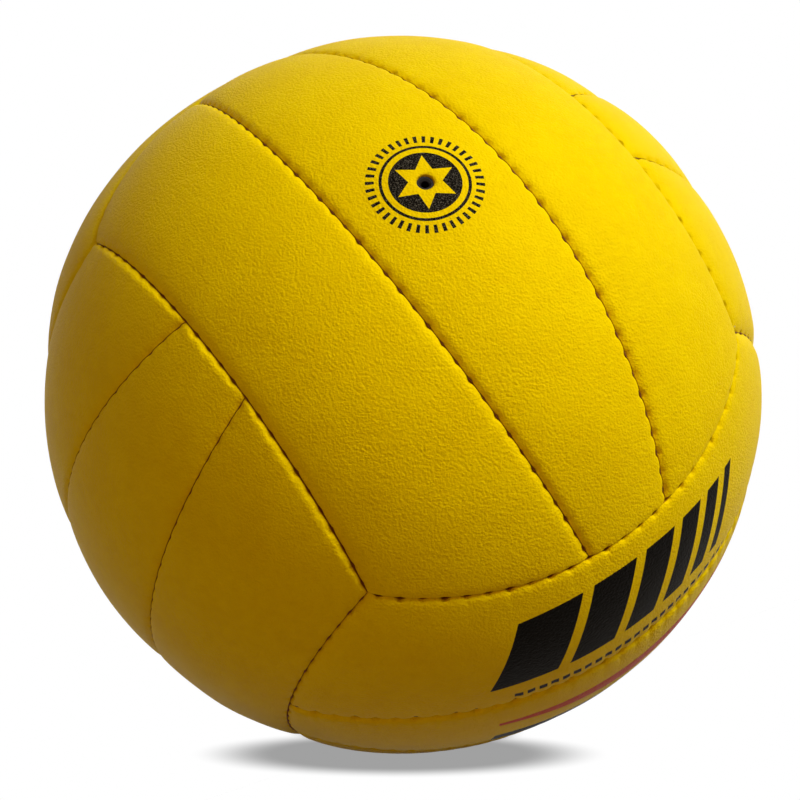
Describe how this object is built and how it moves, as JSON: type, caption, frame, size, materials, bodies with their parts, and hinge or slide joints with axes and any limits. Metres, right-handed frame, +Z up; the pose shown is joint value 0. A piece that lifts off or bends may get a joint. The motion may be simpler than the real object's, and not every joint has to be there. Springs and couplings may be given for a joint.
{
  "type": "volleyball",
  "caption": "Inflatable ball for indoor volleyball: stitched synthetic leather strips on foam backings over a rubber bladder with a needle valve.",
  "frame": {"origin": "the ball's centre", "axes": "+Z up as the ball lies, -Y to its front, where the valve's face looks forward and up, and +X to the right seen from the front"},
  "size_m": [0.21, 0.21, 0.21],
  "materials": {
    "cover_leather": "soft grained synthetic leather, satin",
    "foam_backing": "foam faced with cotton cloth, matte",
    "waxed_thread": "waxed polyester thread",
    "butyl_bladder": "smooth butyl rubber",
    "valve_rubber": "moulded rubber, matte",
    "patch_cloth": "cotton cloth"
  },
  "bodies": {
    "root": {"front_panel_1": "cover_leather", "front_panel_2": "cover_leather", "front_panel_3": "cover_leather", "bottom_panel_1": "cover_leather", "bottom_panel_2": "cover_leather", "bottom_panel_3": "cover_leather", "right_panel_1": "cover_leather", "right_panel_2": "cover_leather", "right_panel_3": "cover_leather", "back_panel_1": "cover_leather", "back_panel_2": "cover_leather", "back_panel_3": "cover_leather", "top_panel_1": "cover_leather", "top_panel_2": "cover_leather", "top_panel_3": "cover_leather", "left_panel_1": "cover_leather", "left_panel_2": "cover_leather", "left_panel_3": "cover_leather", "front_backing_1": "foam_backing", "front_backing_2": "foam_backing", "front_backing_3": "foam_backing", "bottom_backing_1": "foam_backing", "bottom_backing_2": "foam_backing", "bottom_backing_3": "foam_backing", "right_backing_1": "foam_backing", "right_backing_2": "foam_backing", "right_backing_3": "foam_backing", "back_backing_1": "foam_backing", "back_backing_2": "foam_backing", "back_backing_3": "foam_backing", "top_backing_1": "foam_backing", "top_backing_2": "foam_backing", "top_backing_3": "foam_backing", "left_backing_1": "foam_backing", "left_backing_2": "foam_backing", "left_backing_3": "foam_backing", "front_seam_thread": "waxed_thread", "bottom_seam_thread": "waxed_thread", "right_seam_thread": "waxed_thread", "back_seam_thread": "waxed_thread", "top_seam_thread": "waxed_thread", "left_seam_thread": "waxed_thread", "bladder": "butyl_bladder", "valve_housing": "valve_rubber", "valve_core": "valve_rubber", "valve_patch": "patch_cloth"}
  },
  "joints": []
}
